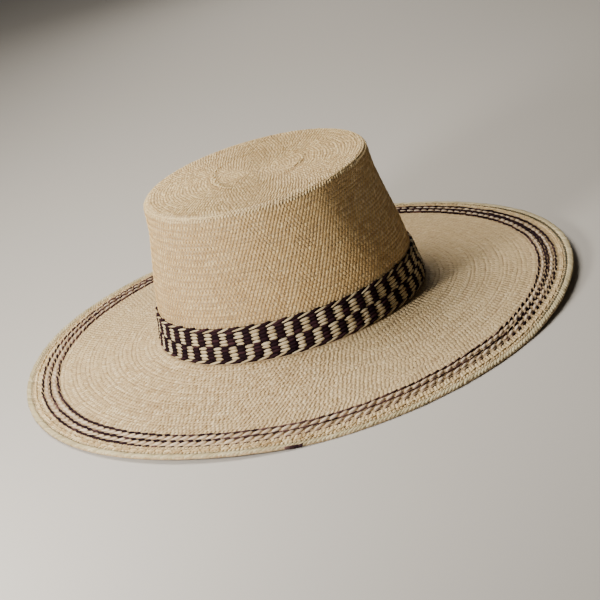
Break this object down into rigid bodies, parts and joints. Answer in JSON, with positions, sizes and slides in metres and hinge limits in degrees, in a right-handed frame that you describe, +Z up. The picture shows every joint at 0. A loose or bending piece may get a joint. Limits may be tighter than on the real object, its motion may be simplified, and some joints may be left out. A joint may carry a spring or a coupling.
{
  "type": "wide-brimmed woven straw hat",
  "caption": "Woven straw hat with a low flat-topped crown, a wide gently drooping brim with a dyed twined border, and a plaited two-colour chequered band.",
  "frame": {"origin": "under the middle of the crown, on the surface that the hat rests on", "axes": "+Z up through the crown's tip, +X along the long axis of the head opening, which runs from the back of the head to the front"},
  "size_m": [0.4302, 0.3942, 0.1258],
  "materials": {
    "crown_straw": "fine twill weave of undyed straw, matte with a faint sheen",
    "brim_straw": "fine ringed weave of undyed straw, matte",
    "band_straw": "plait of pale and dark dyed straw in staggered blocks",
    "rim_straw": "folded-back straw ends, slanting strands",
    "dyed_straw": "twined straw dyed dark maroon, matte",
    "pale_straw": "two-strand twined undyed straw"
  },
  "bodies": {
    "root": {"crown": "crown_straw", "brim": "brim_straw", "band": "band_straw", "rim_edge": "rim_straw", "border_row_outer": "dyed_straw", "border_cord_outer": "pale_straw", "border_row_middle": "dyed_straw", "border_cord_inner": "pale_straw", "border_row_inner": "dyed_straw"}
  },
  "joints": []
}
